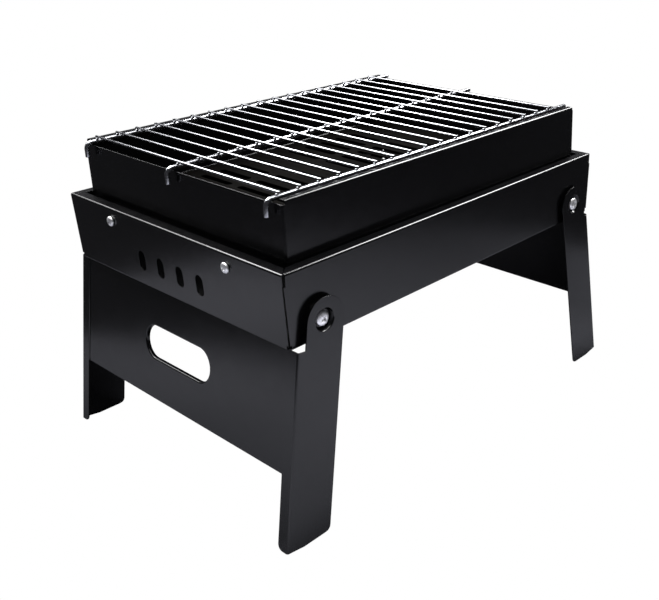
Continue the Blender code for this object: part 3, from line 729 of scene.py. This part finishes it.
screw_plate, tree, shader = new_finish("bright_plated_steel")
place = add_node(tree, "ShaderNodeTexCoord").outputs["Object"]
cloud = add_node(tree, "ShaderNodeTexNoise", {"Vector": place, "Scale": 1 / PLATE_CLOUD, "Detail": 3.0})
shade = add_node(tree, "ShaderNodeMix", {"Factor": cloud.outputs["Fac"]}, data_type="RGBA")
shade.inputs["A"].default_value = from_hex("#eeeeef")
shade.inputs["B"].default_value = from_hex("#f6f6f5")
tree.links.new(shade.outputs["Result"], shader.inputs["Base Color"])
scratch = add_node(tree, "ShaderNodeTexNoise", {"Vector": place, "Scale": 1 / PLATE_SCRATCH, "Detail": 2.0})
scratch.inputs["Distortion"].default_value = 1.5
rough = add_node(tree, "ShaderNodeMapRange", {"Value": scratch.outputs["Fac"]})
rough.inputs["To Min"].default_value = 0.4
rough.inputs["To Max"].default_value = 0.5
tree.links.new(rough.outputs["Result"], shader.inputs["Roughness"])
bump = add_node(tree, "ShaderNodeBump", {"Height": scratch.outputs["Fac"], "Strength": 1.0, "Distance": 0.000006})
tree.links.new(bump.outputs["Normal"], shader.inputs["Normal"])
shader.inputs["Metallic"].default_value = 1.0

# Plain zinc plate with a clear passivate: greyer than the screws, with a faint warm and blue cast.
zinc_plate, tree, shader = new_finish("passivated_zinc_plate")
place = add_node(tree, "ShaderNodeTexCoord").outputs["Object"]
cloud = add_node(tree, "ShaderNodeTexNoise", {"Vector": place, "Scale": 1 / PLATE_CLOUD, "Detail": 3.0})
shade = add_node(tree, "ShaderNodeMix", {"Factor": cloud.outputs["Fac"]}, data_type="RGBA")
shade.inputs["A"].default_value = from_hex("#a9a8a0")
shade.inputs["B"].default_value = from_hex("#b9bdc4")
tree.links.new(shade.outputs["Result"], shader.inputs["Base Color"])
rough = add_node(tree, "ShaderNodeMapRange", {"Value": cloud.outputs["Fac"]})
rough.inputs["To Min"].default_value = 0.24
rough.inputs["To Max"].default_value = 0.40
tree.links.new(rough.outputs["Result"], shader.inputs["Roughness"])
grain = add_node(tree, "ShaderNodeTexNoise", {"Vector": place, "Scale": 1 / PLATE_SCRATCH, "Detail": 2.0})
bump = add_node(tree, "ShaderNodeBump", {"Height": grain.outputs["Fac"], "Strength": 1.0})
bump.inputs["Distance"].default_value = 0.00001
tree.links.new(bump.outputs["Normal"], shader.inputs["Normal"])
shader.inputs["Metallic"].default_value = 1.0


def thread_rows(radius, start, end, pitch):
    """Rings of a rolled thread down -Z, its crests running round as a helix."""
    depth = THREAD_DEPTH * pitch
    rows = []
    count = int((start - end) / pitch * THREAD_RINGS)
    for step in range(count + 1):
        z = start + (end - start) * step / count
        fade = min(1.0, (z - end) / pitch)
        ring = []
        for index in range(THREAD_SIDES):
            turn = index / THREAD_SIDES
            phase = (z / pitch + turn) % 1
            dip = depth * abs(2 * phase - 1)
            r = radius - dip * CREST_FLAT - (1 - fade) * depth * THREAD_POINT
            angle = 2 * math.pi * turn
            ring.append((r * math.cos(angle), r * math.sin(angle), z))
        rows.append(ring)
    return rows


def cross_outline(length, width):
    """A cross with square arms."""
    a, b = length / 2, width / 2
    quarter = [(a, -b), (a, b), (b, b)]
    points = []
    for turn in range(4):
        c, s = (1, 0, -1, 0)[turn], (0, 1, 0, -1)[turn]
        points += [(x * c - y * s, x * s + y * c) for x, y in quarter]
    return points


def screw_mesh(name, head, head_height, thread, pitch, length):
    """Pan-head screw, the underside of its head at the origin and its thread down -Z."""
    radius = head / 2
    land = head_height * HEAD_LAND
    bm = bmesh.new()
    profile = [(0, head_height)]
    for x, z in arc((0, 0), 1, math.pi / 2, 0, 14)[1:]:
        profile.append((radius * x, land + (head_height - land) * z))
    profile += [(radius, HEAD_EDGE), (radius - HEAD_EDGE, 0), (thread / 2, 0)]
    neck = -pitch * 0.5
    profile.append((thread / 2 * NECK, neck))
    rings = [[(x, y, z) for x, y in circle(max(r, 1e-6), 48)] for r, z in profile]
    add_loft(bm, rings)
    add_face(bm, rings[-1])
    head_solid = finish_mesh(bm, name + "_head", merge=2e-6)

    bm = bmesh.new()
    size = head * CROSS_LENGTH
    arm = head * CROSS_WIDTH
    deep = head_height * (1 - CROSS_DEPTH)
    above = head_height * 1.5
    grown = 1 + (1 - CROSS_TAPER) * 0.5
    upper = [(x, y, above) for x, y in cross_outline(size * grown, arm * CROSS_MOUTH)]
    lower = [(x, y, deep) for x, y in cross_outline(size * CROSS_TAPER, arm * CROSS_FLOOR)]
    add_loft(bm, [upper, lower])
    add_face(bm, upper)
    add_face(bm, lower)
    punch = bpy.data.objects.new("punch", finish_mesh(bm, "punch"))
    blank = bpy.data.objects.new("blank", head_solid)
    for part in (punch, blank):
        bpy.context.scene.collection.objects.link(part)
    cut = blank.modifiers.new("cross_recess", "BOOLEAN")
    cut.object = punch
    cut.operation = "DIFFERENCE"
    cut.solver = "EXACT"
    soft = blank.modifiers.new("soft_edges", "BEVEL")
    soft.width = SOFT_EDGE
    soft.segments = 2
    soft.angle_limit = math.radians(40)
    soft.use_clamp_overlap = True
    bpy.context.view_layer.update()
    graph = bpy.context.evaluated_depsgraph_get()
    mesh = bpy.data.meshes.new_from_object(blank.evaluated_get(graph))
    for part in (punch, blank):
        bpy.data.objects.remove(part, do_unlink=True)

    bm = bmesh.new()
    bm.from_mesh(mesh)
    rows = thread_rows(thread / 2, neck * 0.5, -length, pitch)
    add_loft(bm, rows)
    add_face(bm, rows[0])
    add_face(bm, rows[-1])
    return finish_mesh(bm, name)


def nut_mesh(name, flats, height, bore, pitch):
    """Chamfered hexagon nut standing on the origin, two of its flats facing along X."""
    bm = bmesh.new()
    per_side = 8
    outer = []
    for side in range(6):
        middle = side * math.pi / 3
        for step in range(per_side):
            angle = middle - math.pi / 6 + math.pi / 3 * step / per_side
            reach = flats / 2 / math.cos(angle - middle)
            outer.append((reach, angle))
    chamfer = math.tan(NUT_CHAMFER)

    def ring(radius, z):
        return [(radius * math.cos(angle), radius * math.sin(angle), z) for _, angle in outer]

    def hexagon(z, inward):
        points = []
        for reach, angle in outer:
            drop = max(0.0, reach - flats / 2 * NUT_CHAMFER_START) * chamfer
            points.append((reach * math.cos(angle), reach * math.sin(angle), z + inward * drop))
        return points

    face = flats / 2 * NUT_FACE
    lead_depth = pitch * NUT_LEAD
    lead = bore / 2 + lead_depth
    loops = [ring(bore / 2, lead_depth), ring(lead, 0), ring(face, 0), hexagon(0, 1)]
    loops += [hexagon(height, -1), ring(face, height), ring(lead, height)]
    loops.append(ring(bore / 2, height - lead_depth))
    add_loft(bm, loops + [loops[0]])
    return finish_mesh(bm, name, smooth_angle=math.radians(25))


PIVOT_HEAD = 0.0106
PIVOT_HEAD_HEIGHT = 0.0028
PIVOT_THREAD = 0.0050
PIVOT_PITCH = 0.0008
PIVOT_NUT_FLATS = 0.0080

low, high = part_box("pivot_screw_left_front")
pivot_length = high.y - low.y - PIVOT_HEAD_HEIGHT
pivot_seat = -low.y - PIVOT_HEAD_HEIGHT
nut_low, nut_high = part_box("pivot_nut_left_front")
pivot_screw = screw_mesh(
    "pivot_screw", PIVOT_HEAD, PIVOT_HEAD_HEIGHT, PIVOT_THREAD, PIVOT_PITCH, pivot_length
)
pivot_nut = nut_mesh("pivot_nut", PIVOT_NUT_FLATS, nut_high.y - nut_low.y, PIVOT_HOLE, PIVOT_PITCH)
for side, side_name in ((-1, "left"), (1, "right")):
    for end, end_name in ((-1, "front"), (1, "back")):
        label = side_name + "_" + end_name
        turn = Matrix.Rotation(-end * math.pi / 2, 4, "X")
        spun = turn @ Matrix.Rotation(SCREW_TURN * (2 * end + side), 4, "Z")
        seat = Matrix.Translation((side * pivot_x, end * pivot_seat, pivot_z))
        node = "pivot_screw_" + label
        add_piece("pivot_bolt_" + label, pivot_screw, screw_plate, "tray", node, seat @ spun)
        inside = Matrix.Translation((side * pivot_x, end * -nut_high.y, pivot_z))
        node = "pivot_nut_" + label
        add_piece("pivot_hexnut_" + label, pivot_nut, zinc_plate, "tray", node, inside @ turn)

END_HEAD = 0.0078
END_HEAD_HEIGHT = 0.0024
END_THREAD = 0.0040
END_PITCH = 0.0007
END_NUT_FLATS = 0.0070
END_NUT_HEIGHT = 0.0032
THREAD_PAST_NUT = 0.0012
FIT_GAP = 0.0003

stack = TRAY_SHEET + LEDGE_SHEET + 2 * FIT_GAP
end_length = FIT_GAP + stack + END_NUT_HEIGHT + THREAD_PAST_NUT
end_screw = screw_mesh("end_screw", END_HEAD, END_HEAD_HEIGHT, END_THREAD, END_PITCH, end_length)
end_nut = nut_mesh("end_nut", END_NUT_FLATS, END_NUT_HEIGHT, END_SCREW_HOLE, END_PITCH)
for side, side_name in ((-1, "left"), (1, "right")):
    outward = Vector((side * math.cos(end_tilt), 0, -math.sin(end_tilt)))
    wall = Vector((side * end_wall_x(end_screw_z), 0, end_screw_z))
    turn = Matrix.Rotation(side * (math.pi / 2 + end_tilt), 4, "Y")
    for end, end_name in ((-1, "front"), (1, "back")):
        label = side_name + "_" + end_name
        across = Vector((0, end * end_screw_y, 0))
        spun = turn @ Matrix.Rotation(SCREW_TURN * (3 * side - end), 4, "Z")
        seat = Matrix.Translation(wall + outward * FIT_GAP + across)
        node = "end_screw_" + label
        add_piece("ledge_bolt_" + label, end_screw, screw_plate, "tray", node, seat @ spun)
        inside = Matrix.Translation(wall - outward * (stack + END_NUT_HEIGHT) + across)
        node = "end_nut_" + label
        add_piece("ledge_hexnut_" + label, end_nut, zinc_plate, "tray", node, inside @ turn)


# Cooking grid
# Three rails of 3.7 mm wire hook over one end wall, with eighteen 2.1 mm rods resistance-welded across them.
# The welded grid is polished, then nickel and chrome plated, so each weld is a small bright nugget.

HOOK_BEND = 0.0045
WIRE_SIDES = 20
CUT_ROUNDING = 0.0005
CUT_STEPS = 4
ROD_COUNT = 18
ROD_SIDES = 16
NUGGET_HALF_SIZE = (0.00155, 0.00165, 0.00075)
NUGGET_STEPS = 8

# Chrome over nickel on drawn wire: a soft mirror with slight waves along the wire and faint draw lines. It is
# darker than real chrome, to stay in range under these lamps.
CHROME_WAVE = 0.0060
CHROME_LINE = 0.0004

chrome, tree, shader = new_finish("chrome_plated_wire")
place = add_node(tree, "ShaderNodeTexCoord").outputs["Object"]
wave = add_node(tree, "ShaderNodeTexNoise", {"Vector": place, "Scale": 1 / CHROME_WAVE, "Detail": 2.0})
shade = add_node(tree, "ShaderNodeMix", {"Factor": wave.outputs["Fac"]}, data_type="RGBA")
shade.inputs["A"].default_value = from_hex("#8c8d91")
shade.inputs["B"].default_value = from_hex("#a2a3a6")
tree.links.new(shade.outputs["Result"], shader.inputs["Base Color"])
rough = add_node(tree, "ShaderNodeMapRange", {"Value": wave.outputs["Fac"]})
rough.inputs["To Min"].default_value = 0.17
rough.inputs["To Max"].default_value = 0.24
tree.links.new(rough.outputs["Result"], shader.inputs["Roughness"])
lines = add_node(tree, "ShaderNodeTexNoise", {"Vector": place, "Scale": 1 / CHROME_LINE, "Detail": 2.0})
bump = add_node(tree, "ShaderNodeBump", {"Height": wave.outputs["Fac"], "Strength": 1.0, "Distance": 0.00003})
bump = add_node(
    tree,
    "ShaderNodeBump",
    {"Height": lines.outputs["Fac"], "Strength": 1.0, "Distance": 0.000004, "Normal": bump.outputs["Normal"]},
)
tree.links.new(bump.outputs["Normal"], shader.inputs["Normal"])
shader.inputs["Metallic"].default_value = 1.0


def add_wire(bm, points, diameter, sides=WIRE_SIDES):
    """A wire along points in the XZ plane, with its sheared ends rounded."""
    points = [Vector(point) for point in points]
    rings = []
    last = len(points) - 1
    for index, point in enumerate(points):
        along = (points[min(index + 1, last)] - points[max(index - 1, 0)]).normalized()
        normal = Vector((0, 1, 0)).cross(along)
        ends = {0: -1, last: 1}
        rows = [(0.0, diameter / 2)]
        if index in ends:
            rows = []
            for step in range(CUT_STEPS + 1):
                turn = math.pi / 2 * step / CUT_STEPS
                back = CUT_ROUNDING * (1 - math.sin(turn))
                rows.append((-ends[index] * back, diameter / 2 - CUT_ROUNDING * (1 - math.cos(turn))))
            rows = rows[::-1] if index == 0 else rows
        for shift, radius in rows:
            ring = []
            for u, v in circle(radius, sides):
                ring.append(point + along * shift + Vector((0, 1, 0)) * u + normal * v)
            rings.append(ring)
    add_loft(bm, rings)
    add_face(bm, rings[0])
    add_face(bm, rings[-1])


def add_nugget(bm, centre, half_x, half_y, half_z):
    """The squeezed-out metal of one spot weld."""
    rows = []
    for step in range(NUGGET_STEPS + 1):
        turn = math.pi * step / NUGGET_STEPS - math.pi / 2
        level = math.sin(turn)
        reach = max(math.cos(turn), 0.02)
        row = []
        for u, v in circle(reach, 16):
            row.append((centre[0] + half_x * u, centre[1] + half_y * v, centre[2] + half_z * level))
        rows.append(row)
    add_loft(bm, rows)
    add_face(bm, rows[0])
    add_face(bm, rows[-1])


rail_low, rail_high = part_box("grid_rail_front")
rail_wire = rail_high.y - rail_low.y
rail_z = rail_high.z - rail_wire / 2
hook_x = rail_low.x + rail_wire / 2
bm = bmesh.new()
path = [(hook_x, 0, rail_low.z)]
for x, z in arc((hook_x + HOOK_BEND, rail_z - HOOK_BEND), HOOK_BEND, math.pi, math.pi / 2, 16):
    path.append((x, 0, z))
path.append((rail_high.x, 0, rail_z))
add_wire(bm, path, rail_wire)
rail_mesh = finish_mesh(bm, "rail")
rail_places = {}
for place_name in ("front", "middle", "back"):
    node = "grid_rail_" + place_name
    low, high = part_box(node)
    rail_places[place_name] = (low.y + high.y) / 2
    across = Matrix.Translation((0, rail_places[place_name], 0))
    add_piece("rail_" + place_name, rail_mesh, chrome, "cooking_grid", node, across)

rod_low, rod_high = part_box("grid_rod_01")
rod_wire = rod_high.z - rod_low.z
weld_z = (rod_low.z + rail_high.z) / 2 - (rod_low.z + rod_high.z) / 2
bm = bmesh.new()
add_wire(bm, [(rod_low.y, 0, 0), (rod_high.y, 0, 0)], rod_wire, ROD_SIDES)
for rail_y in rail_places.values():
    add_nugget(bm, (rail_y, 0, weld_z), *NUGGET_HALF_SIZE)
rod_mesh = finish_mesh(bm, "rod")
for index in range(1, ROD_COUNT + 1):
    node = f"grid_rod_{index:02d}"
    low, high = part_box(node)
    seat = Matrix.Translation(((low.x + high.x) / 2, 0, (low.z + high.z) / 2))
    placed = seat @ Matrix.Rotation(math.pi / 2, 4, "Z")
    add_piece(f"rod_{index:02d}", rod_mesh, chrome, "cooking_grid", node, placed)


# Studio
# The grill stands on a plain white table in a dark room, under softboxes. The table that the lens sees is
# kept evenly white, and the table that the enamel mirrors is lit by the lamps, has painted shade and ends in
# darkness.

TABLE_RADIUS = 1.5
BOUNCE_RADIUS = 0.52
BOUNCE_CENTRE = (-0.08, -0.11, 0.0)  # nearer the lens, so that upright faces fall off to black away from it
TABLE_DROP = 0.0002
TABLE_SIDES = 128


def add_table(name, radius, finish):
    """A round table top just under the feet."""
    bm = bmesh.new()
    add_flat(bm, [(x, y, -TABLE_DROP) for x, y in circle(radius, TABLE_SIDES)])
    mesh = finish_mesh(bm, name)
    mesh.materials.append(finish)
    top = bpy.data.objects.new(name, mesh)
    bpy.context.scene.collection.objects.link(top)
    return top


# Opal acrylic lit from below: an even white with nothing to see in it.
opal, tree, shader = new_finish("lit_opal_acrylic")
shader.inputs["Base Color"].default_value = from_hex("#000000")
shader.inputs["Specular IOR Level"].default_value = 0.0
shader.inputs["Emission Color"].default_value = (1, 1, 1, 1)
shader.inputs["Emission Strength"].default_value = 1.0
seen_table = add_table("table_seen", TABLE_RADIUS, opal)
seen_table.visible_glossy = False
seen_table.visible_diffuse = False
seen_table.visible_shadow = False

# White card: matt paper that throws the lamps' light up onto the enamel. Shade is painted into its colour: it is
# darker to the right and to the back, which keeps the far ends of the walls in shade, and darker close beside the
# left panel.
CARD_FADE_X = (0.05, 0.35)
CARD_FADE_Y = (0.05, 0.42)
CARD_SHADE_X = 0.3
CARD_SHADE_Y = 0.45
CARD_SHADE_PANEL = 0.3
CARD_NEAR_PANEL = (-0.31, -0.12)
CARD_BESIDE_PANEL = (-0.05, 0.0)

card, tree, shader = new_finish("white_card")
place = add_node(tree, "ShaderNodeTexCoord").outputs["Object"]
axes = add_node(tree, "ShaderNodeSeparateXYZ", {"Vector": place})
# Painted shade: the card's colour fades towards black to the right, to the back and close beside the left panel.
painted_shade_fades = []
for axis, (near, far), least in (("X", CARD_FADE_X, CARD_SHADE_X), ("Y", CARD_FADE_Y, CARD_SHADE_Y)):
    reach = {"Value": axes.outputs[axis], "From Min": near, "From Max": far}
    fade = add_node(tree, "ShaderNodeMapRange", reach)
    fade.inputs["To Min"].default_value = 1.0
    fade.inputs["To Max"].default_value = least
    painted_shade_fades.append(fade.outputs["Result"])
near_panel = add_node(tree, "ShaderNodeMapRange", {"Value": axes.outputs["X"]})
near_panel.inputs["From Min"].default_value, near_panel.inputs["From Max"].default_value = CARD_NEAR_PANEL
near_panel.inputs["To Min"].default_value = 1.0
near_panel.inputs["To Max"].default_value = CARD_SHADE_PANEL
beside = add_node(tree, "ShaderNodeMapRange", {"Value": axes.outputs["Y"]})
beside.inputs["From Min"].default_value, beside.inputs["From Max"].default_value = CARD_BESIDE_PANEL
panel_shade = {"Factor": beside.outputs["Result"], "A": 1.0, "B": near_panel.outputs["Result"]}
painted_shade_by_panel = add_node(tree, "ShaderNodeMix", panel_shade)
both = add_node(tree, "ShaderNodeMath", {0: painted_shade_fades[0], 1: painted_shade_fades[1]}, operation="MULTIPLY")
factors = {0: both.outputs["Value"], 1: painted_shade_by_panel.outputs["Result"]}
both = add_node(tree, "ShaderNodeMath", factors, operation="MULTIPLY")
shade = add_node(tree, "ShaderNodeMix", {"Factor": both.outputs["Value"]}, data_type="RGBA")
shade.inputs["A"].default_value = from_hex("#000000")
shade.inputs["B"].default_value = from_hex("#9e9fa8")
tree.links.new(shade.outputs["Result"], shader.inputs["Base Color"])
shader.inputs["Roughness"].default_value = 0.9
shader.inputs["Specular IOR Level"].default_value = 0.0
bounce_table = add_table("table_bounce", BOUNCE_RADIUS, card)
bounce_table.visible_camera = False
bounce_table.location = BOUNCE_CENTRE


def add_softbox(name, size, radiance, location, target=(0, 0, 0.2)):
    """A square softbox of that radiance, facing the target."""
    lamp = bpy.data.lights.new(name, "AREA")
    lamp.shape = "RECTANGLE"
    lamp.size, lamp.size_y = size
    lamp.energy = radiance * math.pi * size[0] * size[1]
    box = bpy.data.objects.new(name, lamp)
    box.location = location
    box.rotation_euler = (Vector(location) - Vector(target)).to_track_quat("Z", "Y").to_euler()
    box.visible_camera = False
    bpy.context.scene.collection.objects.link(box)


add_softbox("softbox_right", size=(1.4, 0.8), radiance=34.0, location=(1.40, -0.10, 1.60))
add_softbox("softbox_back", size=(1.4, 0.8), radiance=24.0, location=(-0.05, 1.25, 1.75))
add_softbox("softbox_low", size=(1.8, 0.45), radiance=7.0, location=(-0.35, 2.00, 1.55))
add_softbox("softbox_top", size=(1.4, 1.4), radiance=8.0, location=(0.0, 0.0, 1.8))

world = bpy.data.worlds.new("dark_room")
world.use_nodes = True
tree = world.node_tree
tree.nodes.clear()
seen = add_node(tree, "ShaderNodeLightPath").outputs["Is Camera Ray"]
backdrop = add_node(tree, "ShaderNodeMix", {"Factor": seen}, data_type="RGBA")
backdrop.inputs["A"].default_value = (0.06, 0.06, 0.066, 1)
backdrop.inputs["B"].default_value = (1, 1, 1, 1)
glow = add_node(tree, "ShaderNodeBackground", {"Color": backdrop.outputs["Result"], "Strength": 1.0})
add_node(tree, "ShaderNodeOutputWorld", {"Surface": glow.outputs["Background"]})
bpy.context.scene.world = world
bpy.context.scene.view_settings.view_transform = "Standard"

LENS = 50.6  # millimetres, on a sensor 36 wide
LENS_SHIFT = (-0.1965, -0.1314)
CAMERA_PLACE = (-0.5031, -0.5581, 0.4289)
CAMERA_TURN = (1.2269, 0.0112, -0.8647)

camera = bpy.data.cameras.new("camera")
camera.lens = LENS
camera.sensor_width = 36
camera.shift_x, camera.shift_y = LENS_SHIFT
camera_stand = bpy.data.objects.new("camera", camera)
camera_stand.location = CAMERA_PLACE
camera_stand.rotation_euler = CAMERA_TURN
bpy.context.scene.collection.objects.link(camera_stand)
bpy.context.scene.camera = camera_stand
